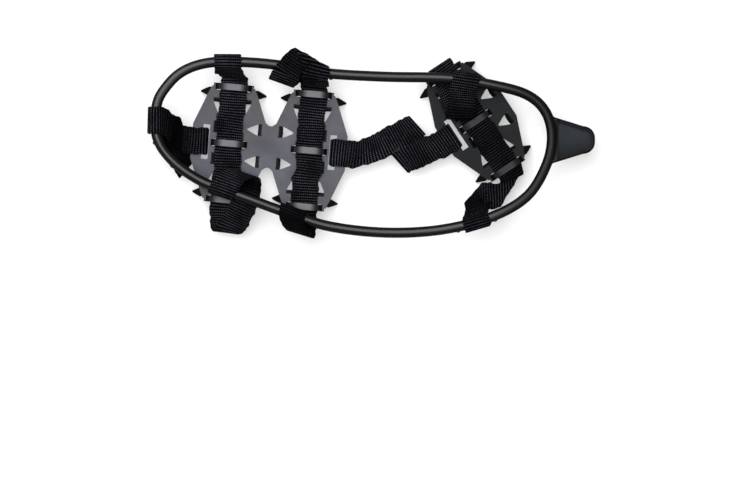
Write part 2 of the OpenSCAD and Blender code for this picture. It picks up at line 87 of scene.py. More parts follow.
def newMaterial(name):
    material = bpy.data.materials.new(name)
    material.use_nodes = True
    tree = material.node_tree
    tree.nodes.clear()
    shader = tree.nodes.new("ShaderNodeBsdfPrincipled")
    addNode(tree, "ShaderNodeOutputMaterial", Surface=shader)
    return material, tree, shader


# settings that several nodes share
times, colours = {"operation": "MULTIPLY"}, {"data_type": "RGBA"}
smooth = {"interpolation_type": "SMOOTHSTEP"}


# the scale of a pattern whose cells are this many millimetres wide
def cells(size):
    return 1 / (size * mm)


# sizes shared with the solids, in millimetres and degrees

strapSizes = {"width": 20.0, "thick": 1.4, "gap": 0.3, "loopGap": 0.45, "pastEnd": 3.6}
ringSizes = {"cord": 7.5, "height": 22.7, "nub": 3.8, "nubAside": 2.1, "nubLow": 4.9, "nubStep": 13.9,
             "pointsEach": 20, "voxel": 0.55}
plateSizes = {"front": (-73.7, -2.7), "frontTurn": -5.0, "heel": (75.6, 15.8), "heelTurn": 33.5,
              "sheetTop": 11.5, "sheetMid": 10.75, "halfLen": 86.0, "halfWidth": 54.0, "pitch": 58.0,
              "rail": 7.7}

sheetTop, sheetMid = plateSizes["sheetTop"], plateSizes["sheetMid"]
sheetBottom = 2 * sheetMid - sheetTop
layHeight = 12.5  # middle of webbing that lies on the sheet
overBar = 16.7  # middle of webbing that lies over a bridge
ringHeight = ringSizes["height"]


def unit(v):
    return v / np.linalg.norm(v)


def lengths(rows):
    return np.linalg.norm(rows, axis=1)


def flatDir(a):
    a = math.radians(a)
    return np.array([math.cos(a), math.sin(a), 0.0])


def spin(u, v, a):
    a = math.radians(a)
    return np.array([u * math.cos(a) - v * math.sin(a), u * math.sin(a) + v * math.cos(a)])


def frontPoint(u, v, z):
    return np.append(spin(u, v, plateSizes["frontTurn"]) + plateSizes["front"], z)


def heelPoint(u, v, z):
    return np.append(spin(u, v, plateSizes["heelTurn"]) + plateSizes["heel"], z)


# middle line of the rubber ring, and where the straps loop round it, counted in knots

ringKnots = np.array([
    [-154, 5], [-154, 27], [-147, 40.5], [-135, 51.5], [-117, 57.5], [-92, 58], [-64, 55.5], [-32, 50],
    [10, 47.5], [55, 46.5], [85, 42], [111, 35], [125, 23], [130, 5], [126, -16], [112, -38.5],
    [86, -53.5], [50, -62.5], [10, -64.5], [-30, -60], [-60, -50.5], [-94, -38], [-122, -27.5],
    [-143, -12.5]], float)
ringLoops = {"toe": 0.5, "toeRowTop": 4.58, "ballRowTop": 6.7, "heelTop": 9.42,
             "heelEnd": 16.3, "ballRowEnd": 19.9, "toeRowEnd": 21.42}


def ringPoint(t):
    n = len(ringKnots)
    i = math.floor(t)
    f = t - i
    knot = lambda k: ringKnots[k % n]
    slope = lambda k: (knot(k + 1) - knot(k - 1)) / 2
    p = knot(i) * (2 * f ** 3 - 3 * f ** 2 + 1) + knot(i + 1) * (3 * f ** 2 - 2 * f ** 3)
    q = slope(i) * (f ** 3 - 2 * f ** 2 + f) + slope(i + 1) * (f ** 3 - f ** 2)
    return np.append(p + q, ringHeight)


def ringAlong(t, nudge=0.02):
    return unit(ringPoint(t + nudge) - ringPoint(t - nudge))


def ringOut(t):
    return np.cross(ringAlong(t), [0, 0, -1])


def across(t):
    d = ringAlong(t)
    return -d if d[0] + d[1] < 0 else d


# stations of webbing: a middle point and the direction across
# high counts from the ring's middle, low and onFront from the sheet's top, onHeel from the floor

def station(p, side):
    return (np.array(p, float), np.array(side, float))


def high(x, y, h, a):
    return station([x, y, ringHeight + h], flatDir(a))


def low(x, y, h, a):
    return station([x, y, sheetTop + h], flatDir(a))


def onFront(u, v, h, a):
    return station(frontPoint(u, v, sheetTop + h), flatDir(plateSizes["frontTurn"] + a))


def onHeel(u, v, z, a):
    return station(heelPoint(u, v, z), flatDir(plateSizes["heelTurn"] + a))


# loops round the ring's cord, with angles from straight out, turning up

def loopShape(t):
    d = strapSizes["width"] / 2 / np.linalg.norm(ringPoint(t + 0.5) - ringPoint(t - 0.5))
    chord = (ringPoint(t + d) + ringPoint(t - d)) / 2
    radius = ringSizes["cord"] / 2 + strapSizes["loopGap"] + strapSizes["thick"] / 2
    return (ringPoint(t) + chord) / 2, radius + np.linalg.norm(ringPoint(t) - chord) / 2


def loopDir(t, a):
    a = math.radians(a)
    return math.cos(a) * ringOut(t) + np.array([0, 0, math.sin(a)])


def loopPoint(t, a):
    middle, radius = loopShape(t)
    return middle + radius * loopDir(t, a)


def wrap(t, a0, a1, n):
    return [station(loopPoint(t, a0 + (a1 - a0) * i / n), across(t)) for i in range(n + 1)]


def wrapTail(t, a, reach):
    return station(loopPoint(t, a) - reach * loopDir(t, a + 90), across(t))


def sewn(a, b, f0, f1):
    return [station(a[0] + f * (b[0] - a[0]), unit(a[1] + b[1])) for f in (f0, f1)]


# loops through a plate's end slot, round the rail outside it

slotSizes = {"turn": 2.05, "loose": 2.5, "clear": 0.6, "sewn": 6.5, "steps": 6}
railIn = plateSizes["halfWidth"] / 2 - plateSizes["rail"]
railOut = plateSizes["halfWidth"] / 2
railLay = sheetMid + slotSizes["turn"]
railUnder = sheetMid - slotSizes["turn"]
tailHeight = railLay - strapSizes["thick"] - strapSizes["gap"]
toeRow, ballRow = -plateSizes["pitch"] / 2, plateSizes["pitch"] / 2
halfEnd = plateSizes["halfLen"] / 2
rowEnd = halfEnd + strapSizes["pastEnd"]


def railTurn(sign, loose):
    made = []
    for i in range(slotSizes["steps"] + 1):
        a = math.radians(-90 - 180 * i / slotSizes["steps"])
        u = railIn + slotSizes["clear"] + (slotSizes["turn"] + loose) * math.cos(a)
        made.append((sign * u, sheetMid + slotSizes["turn"] * math.sin(a)))
    return made


def railRoute(place, row, sign, turn, loose=0.0):
    far = row + sign * railOut
    tail = far + sign * slotSizes["sewn"]
    spots = [(tail, tailHeight), (far, railUnder)]
    spots += [(row + u, z) for u, z in railTurn(sign, loose)]
    spots += [(far, railLay), (tail, railLay)]
    return [station(place(u, 0, z), flatDir(turn + 90)) for u, z in spots]


def foldOver(p, heading, side, up):
    radius = strapSizes["thick"] / 2 + strapSizes["gap"]
    made = []
    for i in range(5):
        a = math.radians(-90 + 45 * i)
        out = math.cos(a) * flatDir(heading) + np.array([0, 0, up * (1 + math.sin(a))])
        made.append(station(np.array(p) + radius * out, flatDir(side)))
    return made


# a cross strap's stretch on the front plate
def crossRun(row):
    return [onFront(row, v, layHeight - sheetTop, 0) for v in (rowEnd, halfEnd / 2, -halfEnd / 2, -rowEnd)]


# the straps' routes

def toeRoute():
    tail = [low(-132, -18, -2.6, 50), low(-139, -9, -2.4, 58), low(-146.5, 1.5, 1, 72),
            high(-152.3, 10, -6.4, 84)]
    loop = tail + wrap(ringLoops["toe"], -75, 140, 9)
    dropTo = onFront(toeRow - railOut - slotSizes["sewn"] - 4, 5.4, 3.9, 81)
    rail = railRoute(frontPoint, toeRow, -1, plateSizes["frontTurn"], slotSizes["loose"])[::-1]
    return loop + sewn(loop[-1], dropTo, 0.2, 0.75) + [dropTo] + rail


def toeRowRoute():
    loop = [wrapTail(ringLoops["toeRowTop"], -75, 10)] + wrap(ringLoops["toeRowTop"], -75, 143, 9)
    on = crossRun(toeRow)
    tail = [onFront(toeRow + u, -halfEnd - v, h, a) for u, v, h, a in (
        (0, 9, -0.9, 1), (1.2, 15, -2.9, 1), (2, 19, -3.5, 1), (3.2, 21, -2.3, -1),
        (5.1, 19.8, -0.6, -8), (8.6, 14.3, 1.1, -19), (12.4, 6.4, overBar - sheetTop, -22))]
    back = [station([-91, -42, overBar], flatDir(-25)), station([-88.5, -33, overBar], flatDir(-19))]
    back += [high(x, y, h, -19) for x, y, h in (
        (-88, -27, -4.8), (-89.5, -22.5, -2.6), (-94, -22, 1), (-100, -25.5, 4.2))]
    end = wrap(ringLoops["toeRowEnd"], 80, -70, 6)
    return loop + sewn(loop[-1], on[0], 0.25, 0.75) + on + tail + back + end


def ballRowRoute():
    tail = [high(*k) for k in ((-39.9, 41.4, -4, 175), (-39.9, 43.4, 0.4, 175), (-39.9, 45.8, 4.6, 178))]
    pivot, swing = (-49.7, 48.2), 10.6  # the free end fans round its inner edge
    for a, h in ((15, 6.9), (50, 6.9), (85, 6.9), (120, 6.7), (148, 6.2)):
        out = flatDir(a)
        tail.append(high(pivot[0] + swing * out[0], pivot[1] + swing * out[1], h, a + 180))
    tail += [high(*k) for k in (
        (-60.6, 49.6, 5.4, -25), (-63.3, 45.3, 3, -23), (-64.4, 43.2, -0.4, -21),
        (-63, 44, -4, -15), (-58, 47.5, -7, -12), (-51, 50.5, -6.8, -11))]
    loop = tail + wrap(ringLoops["ballRowTop"], -80, 140, 9)
    on = crossRun(ballRow)
    end = [low(-48.5, -57, 0.9, -14)] + [high(x, y, h, -17) for x, y, h in (
        (-49, -62.5, -8.4), (-50.5, -65.3, -4.5), (-52.5, -64.2, 0.5), (-55, -60.5, 4.4))]
    end += wrap(ringLoops["ballRowEnd"], 80, 215, 6)
    return loop + sewn(loop[-1], on[0], 0.2, 0.75) + on + end


def connectingRoute():
    front = railRoute(frontPoint, ballRow, 1, plateSizes["frontTurn"], slotSizes["loose"])
    heel = railRoute(heelPoint, 0, -1, plateSizes["heelTurn"])[::-1]
    drop = strapSizes["thick"] + 2 * strapSizes["gap"]
    middle = [low(-1, -5, 0.5, 96), low(9, -0.5, 0.3, 114), low(20, 5.5, 0.3, 120)]
    middle += foldOver([32.5, 12.2, sheetTop + 0.3], 27, 132, -1) + [low(27, 0, 0.3 - drop, 138)]
    middle += foldOver([21.5, -13.5, sheetTop + 0.3 - drop], 235, 132, 1)
    return front, middle + [low(31, -9.5, 0.3, 119), low(40, -5, 0.7, 120)], heel


def heelRoute():
    loop = wrap(ringLoops["heelTop"], -70, 95, 6) + [high(*k) for k in (
        (66, 39, 3.2, -8), (65.5, 33, -1.6, -3), (65, 24, -3.4, -3), (64.5, 18.6, -4.1, 0),
        (64, 17.6, -5.2, 2))]
    run = [station([63.5, 20, overBar], flatDir(8))] + [onHeel(*k) for k in (
        (-4.9, 19, overBar, -13.5), (-3.3, 28.8, overBar + 0.2, -3.5), (0, halfEnd - 4, overBar + 0.4, 0),
        (0, halfEnd + 3, overBar + 0.2, 0), (0, halfEnd + 5.2, overBar - 1.6, 0), (0, rowEnd, layHeight, 0),
        (0, halfEnd / 2, layHeight, 0), (0, -halfEnd / 2, layHeight, 0), (0, -rowEnd, layHeight, 0))]
    end = [onHeel(u, -halfEnd - v, sheetTop + h, a) for u, v, h, a in (
        (-2.4, 5.9, 1.0, -16), (-8.6, 8.8, 1.1, -52), (-16.3, 8.9, 1.5, -95.5), (-22.7, 6.5, 2.1, -117.5))]
    fold = onHeel(-27.6, -46.9, sheetTop + 3.5, -91.5)
    bottom = wrap(ringLoops["heelEnd"], 140, -75, 8)
    end += [fold] + sewn(station(fold[0], across(ringLoops["heelEnd"])), bottom[0], 0.5, 0.92) + bottom
    return loop, run, end


# a smooth curve through the stations, with points at even steps

def splineThrough(stations, step, samplesEach=60):
    points = np.array([s[0] for s in stations])
    sides = np.array([s[1] for s in stations])
    apart = np.maximum(lengths(np.diff(points, axis=0)), 1e-6)
    knots = np.concatenate([[0], np.cumsum(np.sqrt(apart))])
    padded = lambda a: np.vstack([2 * a[0] - a[1], a, 2 * a[-1] - a[-2]])
    t = np.concatenate([[-knots[1]], knots, [2 * knots[-1] - knots[-2]]])
    fine = np.linspace(knots[0], knots[-1], samplesEach * len(stations))

    def curve(values):
        p = padded(values)
        i = np.clip(np.searchsorted(t, fine, side="right") - 1, 1, len(t) - 3)
        t0, t1, t2, t3 = (t[i + k][:, None] for k in (-1, 0, 1, 2))
        x = fine[:, None]
        between = lambda a, b, ta, tb: (tb - x) / (tb - ta) * a + (x - ta) / (tb - ta) * b
        a1, a2 = between(p[i - 1], p[i], t0, t1), between(p[i], p[i + 1], t1, t2)
        a3 = between(p[i + 1], p[i + 2], t2, t3)
        return between(between(a1, a2, t0, t2), between(a2, a3, t1, t3), t1, t2)

    path, side = curve(points), curve(sides)
    part = np.clip(np.searchsorted(knots, fine, side="right") - 1, 0, len(knots) - 2)
    ends = np.sort(np.stack([points[part, 2], points[part + 1, 2]]), axis=0)
    path[:, 2] = np.clip(path[:, 2], ends[0], ends[1])  # never dips below or rises above its two stations
    length = np.concatenate([[0], np.cumsum(lengths(np.diff(path, axis=0)))])
    count = max(int(round(length[-1] / step)), 8)
    at = np.linspace(0, length[-1], count + 1)
    pick = lambda a: np.stack([np.interp(at, length, a[:, k]) for k in range(3)], axis=1)
    path, side = pick(path), pick(side)
    side /= lengths(side)[:, None]
    tangent = np.gradient(path, axis=0)
    tangent /= lengths(tangent)[:, None]
    normal = np.cross(tangent, side)
    normal /= lengths(normal)[:, None]
    return path, side, normal, at


def addObject(name, data):
    made = bpy.data.objects.new(name, data)
    bpy.context.scene.collection.objects.link(made)
    return made


def meshObject(name, verts, faces, uv=None):
    mesh = bpy.data.meshes.new(name)
    mesh.from_pydata([tuple(v) for v in verts], [], [tuple(f) for f in faces])
    mesh.update()
    if uv is not None:
        layer = mesh.uv_layers.new(name="UVMap")
        index = np.zeros(len(mesh.loops), int)
        mesh.loops.foreach_get("vertex_index", index)
        layer.data.foreach_set("uv", np.asarray(uv, float)[index].ravel())
    mesh.polygons.foreach_set("use_smooth", [True] * len(mesh.polygons))
    return addObject(name, mesh)


def fixNormals(mesh):
    work = bmesh.new()
    work.from_mesh(mesh)
    bmesh.ops.recalc_face_normals(work, faces=work.faces)
    work.to_mesh(mesh)
    work.free()


# webbing as a mesh: a ribbon with cross ribs, warp bundles and soft selvedges

weaveSizes = {"ribPitch": 1.95, "rowsEach": 6, "ribHeight": 0.3, "ribSharp": 0.8, "bundles": 14,
              "columnsEach": 4, "groove": 0.12, "yarn": 0.36, "edge": 0.9, "edgeThin": 0.35, "edgeRib": 0.35,
              "edgeIn": 0.35, "edgePick": 0.12}
bendSizes = {"sharp": 0.4, "drawnIn": 0.06, "ease": 1.2, "easeRows": 6, "leastLean": 0.05, "leastHalf": 1.0}

# waves along a strap: height in millimetres, turn for each millimetre, start
strapWaves = {"lean": [(0.35, 0.13, 0.7), (0.2, 0.31, 0.0)], "bow": [(0.3, 0.21, 0.0)],
              "leftEdge": [(0.22, 0.55, 0.0), (0.18, 1.23, 0.0)],
              "rightEdge": [(0.22, 0.55, 2.1), (0.18, 1.23, 4.2)],
              "sway": [(0.25, 0.31, 0.0), (0.15, 0.73, 1.3)]}


def waver(along, key):
    return sum(height * np.sin(along * turn + start) for height, turn, start in strapWaves[key])


def webbing(name, path, side, normal, along, edges, mitres, worn):
    half, thick = strapSizes["width"] / 2, strapSizes["thick"] / 2
    columns = weaveSizes["bundles"] * weaveSizes["columnsEach"] + 1
    x = np.linspace(-1, 1, columns)
    soft = np.clip((1 - np.abs(x)) * half / weaveSizes["edge"], 0, 1)
    crown = weaveSizes["edgeThin"] + (1 - weaveSizes["edgeThin"]) * np.sqrt(1 - (1 - soft) ** 2)
    groove = weaveSizes["groove"] * (0.5 + 0.5 * np.cos(np.pi * (x + 1) * weaveSizes["bundles"]))
    profile = thick * crown - weaveSizes["ribHeight"] - groove
    turns = np.abs(np.sin(np.pi * along / weaveSizes["ribPitch"]))  # each weft turn stands out at the edge
    reach = [limit - weaveSizes["edgeIn"] + waver(along, key) + weaveSizes["edgePick"] * turns
             for limit, key in zip(edges, ("leftEdge", "rightEdge"))]
    wide = np.where(x[None, :] < 0, reach[0][:, None], reach[1][:, None]) * x[None, :]
    flat = path[:, None, :] + side[:, None, :] * wide[:, :, None]
    weft = np.repeat(along[:, None], columns, axis=1)
    heading = np.gradient(path, axis=0)
    for first, fold, last in mitres:  # ribs stay straight on both sides of a flat fold
        for rows, at in ((slice(first, fold), first), (slice(fold, last), last)):
            weft[rows] = along[at] + (flat[rows] - path[at]) @ unit(heading[at])
    weft += waver(along, "lean")[:, None] * x[None, :] + waver(along, "bow")[:, None] * (x ** 2)[None, :]
    crest = np.abs(np.sin(np.pi * weft / weaveSizes["ribPitch"])) ** weaveSizes["ribSharp"]
    rib = crest * weaveSizes["ribHeight"] * np.minimum(soft + weaveSizes["edgeRib"], 1)[None, :]
    rise = normal[:, None, :] * (profile[None, :] + rib)[:, :, None]
    shell = np.concatenate([flat + rise, (flat - rise)[:, ::-1]], axis=1)
    n, m = shell.shape[:2]
    verts = shell.reshape(-1, 3) * mm
    i, k = np.meshgrid(np.arange(n - 1), np.arange(m), indexing="ij")
    a, b = i * m + k, i * m + (k + 1) % m
    faces = np.stack([a, b, b + m, a + m], axis=-1).reshape(-1, 4).tolist()
    faces += [list(range(m))[::-1], list(range((n - 1) * m, n * m))]
    width = np.broadcast_to(np.concatenate([x, x[::-1]]) * half, (n, m))
    uv = np.stack([np.concatenate([weft, weft[:, ::-1]], axis=1), width], axis=-1).reshape(-1, 2) * mm
    made = meshObject(name, verts, faces, uv)
    # painted shade for each row, which darkens the rib crests where the strap lies in shade
    made.data.attributes.new("worn", "FLOAT", "POINT").data.foreach_set("value", np.repeat(worn, m))
    fixNormals(made.data)
    return made


def near(path, x, y, reach):
    return np.exp(-(lengths(path[:, :2] - np.array([x, y])) / reach) ** 2)


# webbing is drawn in a little where it bends sharply
def drawnIn(path):
    step = lengths(np.diff(path, axis=0)).mean()
    tangent = np.gradient(path, axis=0) / step
    bend = lengths(np.gradient(tangent, axis=0)) / step
    rows = np.arange(-bendSizes["easeRows"], bendSizes["easeRows"] + 1)
    kernel = np.exp(-(rows * step / bendSizes["ease"]) ** 2)
    sharp = np.clip(bend / bendSizes["sharp"] - 1, 0, 1)
    return bendSizes["drawnIn"] * np.convolve(sharp, kernel / kernel.sum(), mode="same")


# slack: place, rise, sideways, reach; fold lines: part, direction outward, distance from the origin
# mitres: part, then the stations where a flat fold starts, lies and ends
# painted shade: place, reach, how dark the painted shade is there
def strapPieces(parts, slack=(), foldLines=(), mitres=(), worn=()):
    stations, cuts = [], []
    for _, part in parts:
        cuts.append(len(stations))
        stations += part
    path, side, normal, along = splineThrough(stations, weaveSizes["ribPitch"] / weaveSizes["rowsEach"])
    stationRows = [int(np.argmin(lengths(path - s[0]))) for s in stations]
    rowAt = lambda k: int(round(np.interp(k, range(len(stations)), stationRows)))
    bounds = [0] + [stationRows[c] for c in cuts[1:]] + [len(path) - 1]
    moved = path + side * waver(along, "sway")[:, None]
    for x, y, rise, aside, reach in slack:
        moved = moved + near(path, x, y, reach)[:, None] * (rise * normal + aside * side)
    limits = [strapSizes["width"] / 2 * (1 - drawnIn(path)) for _ in range(2)]
    for part, outward, distance in foldLines:
        rows = slice(bounds[part], bounds[part + 1] + 1)
        for limit, sign in zip(limits, (-1, 1)):
            lean = sign * (side[rows] @ flatDir(outward))
            room = (distance - moved[rows] @ flatDir(outward)) / np.maximum(lean, bendSizes["leastLean"])
            cut = np.minimum(limit[rows], np.maximum(room, bendSizes["leastHalf"]))
            limit[rows] = np.where(lean > bendSizes["leastLean"], cut, limit[rows])
    # patches of painted shade, where stretches of strap lie in shade
    unshaded = np.ones(len(path))
    for x, y, reach, share in worn:
        unshaded = unshaded * (1 - share * near(path, x, y, reach))
    made = []
    for part, (name, _) in enumerate(parts):
        first, last = bounds[part], bounds[part + 1]
        keep = slice(first, last + 1)
        folds = [[max(rowAt(k) - first, 0) for k in marked] for at, *marked in mitres if at == part]
        made.append(webbing(name, moved[keep], side[keep], normal[keep], along[keep],
                            [limit[keep] for limit in limits], folds, 1 - unshaded[keep]))
    return made


def dress(piece, material, slot, *nodes):
    piece.data.materials.clear()
    piece.data.materials.append(material)
    if nodes:
        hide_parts(*nodes)
    return piece


# black nylon webbing, woven: matt, ribbed across, fine warp threads, with a painted highlight on each rib
# crest

def wave(tree, value, pitch):
    turned = addNode(tree, "ShaderNodeMath", times, in0=value, in1=math.pi / (pitch * mm))
    sine = addNode(tree, "ShaderNodeMath", {"operation": "SINE"}, in0=turned)
    return addNode(tree, "ShaderNodeMath", {"operation": "ABSOLUTE"}, in0=sine)


def nylonWebbing():
    material, tree, shader = newMaterial("black nylon webbing")
    uv = addNode(tree, "ShaderNodeUVMap", {"uv_map": "UVMap"})
    split = addNode(tree, "ShaderNodeSeparateXYZ", Vector=uv)
    ribs = wave(tree, split.outputs[0], weaveSizes["ribPitch"])
    bundles = wave(tree, split.outputs[1], strapSizes["width"] / weaveSizes["bundles"])
    yarns = wave(tree, split.outputs[1], weaveSizes["yarn"])
    # real fibres are far finer: they are drawn this coarse so that they show
    fuzz = addNode(tree, "ShaderNodeTexNoise", Vector=uv, Scale=cells(1.111), Detail=3.0)
    cloud = addNode(tree, "ShaderNodeTexNoise", Vector=uv, Scale=cells(16.67), Detail=3.0)
    # painted shade: the rib crests lose their lightness in the shaded patches
    worn = addNode(tree, "ShaderNodeAttribute", {"attribute_name": "worn"})
    unshaded = addNode(tree, "ShaderNodeMath", {"operation": "SUBTRACT"}, in0=1.0, in1=worn.outputs["Fac"])
    # painted highlight: the colour is lighter on each rib's crest and along the warp bundles, where light
    # would catch
    light = addNode(tree, "ShaderNodeMath", {"operation": "POWER"}, in0=ribs, in1=5.0)
    for share in (bundles, fuzz, cloud, unshaded):
        light = addNode(tree, "ShaderNodeMath", times, in0=light, in1=share)
    colour = addNode(tree, "ShaderNodeValToRGB", Fac=light, stops=[
        (0.0, "#020203"), (0.06, "#08080a"), (0.15, "#2a2a31"), (0.32, "#4e4e58")])
    height = addNode(tree, "ShaderNodeMath", times, in0=yarns, in1=0.5)
    height = addNode(tree, "ShaderNodeMath", {"operation": "ADD"}, in0=height, in1=fuzz)
    bump = addNode(tree, "ShaderNodeBump", Strength=0.6, Distance=0.2 * mm, Height=height)
    setInputs(tree, shader, Base_Color=colour, Roughness=0.6, Specular_IOR_Level=0.02, Sheen_Weight=0.006,
              Sheen_Roughness=0.4, Normal=bump)
    return material


# black polyester thread, twisted and waxed: a faint gloss, light and dark where the strands turn

def waxedThread():
    material, tree, shader = newMaterial("black waxed thread")
    place = addNode(tree, "ShaderNodeTexCoord").outputs["Object"]
    twist = addNode(tree, "ShaderNodeTexNoise", Vector=place, Scale=cells(0.4), Detail=2.0)
    colour = addNode(tree, "ShaderNodeValToRGB", Fac=twist, stops=[(0.3, "#0a0a0b"), (0.7, "#1e1e22")])
    setInputs(tree, shader, Base_Color=colour, Roughness=0.45, Specular_IOR_Level=0.2)
    return material


# moulded rubber: charcoal, smooth, a soft broad highlight, duller on the tab and where it is handled

# the rubber is handled from one place to the other along the cleat, in millimetres
rubberLook = {"shine": 0.48, "handledShine": 0.2, "tabShine": 0.1, "handledFrom": 70.0, "handledFull": 120.0}


def mouldedRubber():
    material, tree, shader = newMaterial("moulded charcoal rubber")
    place = addNode(tree, "ShaderNodeTexCoord").outputs["Object"]
    cloud = addNode(tree, "ShaderNodeTexNoise", Vector=place, Scale=cells(22.22), Detail=4.0)
    # the mould's grain is finer, drawn this coarse so that it shows
    grain = addNode(tree, "ShaderNodeTexNoise", Vector=place, Scale=cells(0.7143), Detail=2.0)
    face = addNode(tree, "ShaderNodeAttribute", {"attribute_name": "tabFace"}).outputs["Fac"]
    cord = addNode(tree, "ShaderNodeValToRGB", Fac=cloud, stops=[(0.3, "#060608"), (0.7, "#0e0e10")])
    dull = addNode(tree, "ShaderNodeValToRGB", Fac=cloud, stops=[(0.3, "#1f2328"), (0.7, "#292e33")])
    inner = addNode(tree, "ShaderNodeMapRange", smooth, Value=face, From_Min=0.4)
    colour = addNode(tree, "ShaderNodeMix", colours, Factor=inner, in6=cord, in7=dull)
    along = addNode(tree, "ShaderNodeSeparateXYZ", Vector=place)
    handled = addNode(tree, "ShaderNodeMapRange", smooth, Value=along,
                      From_Min=rubberLook["handledFrom"] * mm, From_Max=rubberLook["handledFull"] * mm)
    matt = addNode(tree, "ShaderNodeMapRange", Value=cloud, To_Min=0.22, To_Max=0.32)
    for share, more in ((face, 0.2), (handled, 0.1)):
        matt = addNode(tree, "ShaderNodeMath", {"operation": "MULTIPLY_ADD"}, in0=share, in1=more, in2=matt)
    shader.inputs["Specular IOR Level"].default_value = rubberLook["shine"]
    shine = addNode(tree, "ShaderNodeMapRange", Value=handled, To_Min=rubberLook["shine"],
                    To_Max=rubberLook["handledShine"])
    gloss = addNode(tree, "ShaderNodeMapRange", Value=face, From_Max=0.4, To_Min=shine,
                    To_Max=rubberLook["tabShine"])
    bump = addNode(tree, "ShaderNodeBump", Strength=0.12, Distance=0.2 * mm, Height=grain)
    setInputs(tree, shader, Base_Color=colour.outputs[2], Roughness=matt, Specular_IOR_Level=gloss,
              Normal=bump)
    return material


# stamped steel sheet: satin plating or dark coating, painted shade on sloping and raised faces, bridge tops
# rubbed bright with a painted highlight in their middle

barHighlightFade = (9.3, 3.5)  # a bridge's rub and painted highlight grow between these, none and full, in millimetres from its middle


def stampedSteel(name, deep, base, bent, barRubHighlight, edge):
    material, tree, shader = newMaterial(name)
    place = addNode(tree, "ShaderNodeTexCoord").outputs["Object"]
    cloud = addNode(tree, "ShaderNodeTexNoise", Vector=place, Scale=cells(16.67), Detail=5.0, Roughness=0.6)
    # the rolled sheet's grain is finer, drawn this coarse so that it shows
    grain = addNode(tree, "ShaderNodeTexNoise", Vector=place, Scale=cells(0.625), Detail=2.0)
    broad = addNode(tree, "ShaderNodeTexNoise", Vector=place, Scale=cells(71.43), Detail=1.0)
    bloom = addNode(tree, "ShaderNodeMapRange", Value=broad, From_Min=0.42, From_Max=0.62)
    mottled = addNode(tree, "ShaderNodeValToRGB", Fac=cloud, stops=[(0.3, deep), (0.7, base)])
    tone = addNode(tree, "ShaderNodeMix", {**colours, "blend_type": "MULTIPLY"}, Factor=bloom,
                   in6=mottled, in7=hexLinear("#ece6dc"))  # oil bloom over the whole sheet
    marks = {key: addNode(tree, "ShaderNodeAttribute", {"attribute_name": key}).outputs["Fac"]
             for key in ("bent", "rubAndHighlight", "edge", "across")}
    aside = addNode(tree, "ShaderNodeMath", {"operation": "ABSOLUTE"}, in0=marks["across"])
    fade = addNode(tree, "ShaderNodeMapRange", smooth, Value=aside, From_Min=barHighlightFade[0], From_Max=barHighlightFade[1])
    # bridge tops: rubbed to bare metal, with a painted highlight that is lightest in their middle
    shine, rub = [addNode(tree, "ShaderNodeMath", times, in0=marks[key], in1=share)
                  for key, share in (("rubAndHighlight", fade), ("edge", cloud))]
    # painted shade on sloping faces, then the painted highlight on the bridge tops, then the rubbed edges
    for share, code in ((marks["bent"], bent), (shine, barRubHighlight), (rub, edge)):
        tone = addNode(tree, "ShaderNodeMix", colours, Factor=share, in6=tone.outputs[2], in7=hexLinear(code))
    bare = addNode(tree, "ShaderNodeMapRange", Value=shine, To_Min=0.1, To_Max=0.7)
    rough = addNode(tree, "ShaderNodeMapRange", Value=cloud, To_Min=0.44, To_Max=0.58)
    bump = addNode(tree, "ShaderNodeBump", Strength=0.1, Distance=0.2 * mm, Height=grain)
    setInputs(tree, shader, Base_Color=tone.outputs[2], Metallic=bare, Roughness=rough,
              Specular_IOR_Level=0.15, Normal=bump)
    return material


webbingMaterial = nylonWebbing()
rubberMaterial = mouldedRubber()
threadMaterial = waxedThread()
frontSteel = stampedSteel("satin grey plated steel", deep="#45464d", base="#575860", bent="#050506",
                          barRubHighlight="#606064", edge="#545559")
heelSteel = stampedSteel("dark coated steel", deep="#0b0e12", base="#171b1f", bent="#030304",
                         barRubHighlight="#303133", edge="#1a1d21")
print("materials made")


# straps

toeStrap, = strapPieces(
    [("toe_strap_webbing", toeRoute())], worn=[(-142, 5, 13.0, 0.9), (-132, -15, 9.0, 0.85)])
toeRowStrap, = strapPieces(
    [("toe_row_webbing", toeRowRoute())],
    slack=[(-102, 14, 0.7, -0.9, 5.0), (-104, -18, 0.6, 0.5, 5.0)], worn=[(-86.5, -29, 7.0, 0.8)])
ballRowStrap, = strapPieces(
    [("ball_row_webbing", ballRowRoute())],
    slack=[(-45.5, -17.3, 2.2, 2.2, 4.6), (-46.9, -27, 1.2, -1.0, 4.5), (-43.2, 22, 0.7, -0.4, 5.0)],
    foldLines=[(0, 136.9, 88.2), (0, 60.1, 32.4)], mitres=[(0, 2, 5.5, 8)],
    worn=[(-57, -55, 11.0, 0.65), (-50, 54, 13.0, 0.45)])
frontPart, middlePart, heelPart = connectingRoute()
connectFront, connectHeel = strapPieces(
    [("connecting_webbing", frontPart + middlePart[:-1]),
     ("connecting_webbing_heel", middlePart[-1:] + heelPart)], worn=[(34, -3, 6.0, 0.6)])
loopPart, runPart, endPart = heelRoute()
heelLoop, heelRun, heelEnd = strapPieces(
    [("heel_webbing_loop", loopPart), ("heel_webbing", runPart), ("heel_webbing_end", endPart)],
    slack=[(84, 3, 0.8, 0.5, 5.0)], foldLines=[(2, -31.1, 104.1), (2, 140.4, -79.2)],
    mitres=[(2, 22, 22, 25), (2, 25, 26.5, 28)],
    worn=[(72, -44, 9.0, 0.8), (102, -24, 6.0, 0.5), (61, 20, 6.0, 0.7), (85, 5, 32.0, 0.4)])
for piece, *nodes in (
        (toeStrap, "toe_strap"), (toeRowStrap, "toe_row_strap"), (ballRowStrap, "ball_row_strap"),
        (connectFront, "connecting_strap"), (connectHeel,), (heelRun, "heel_strap"), (heelLoop,), (heelEnd,)):
    dress(piece, webbingMaterial, "webbing", *nodes)
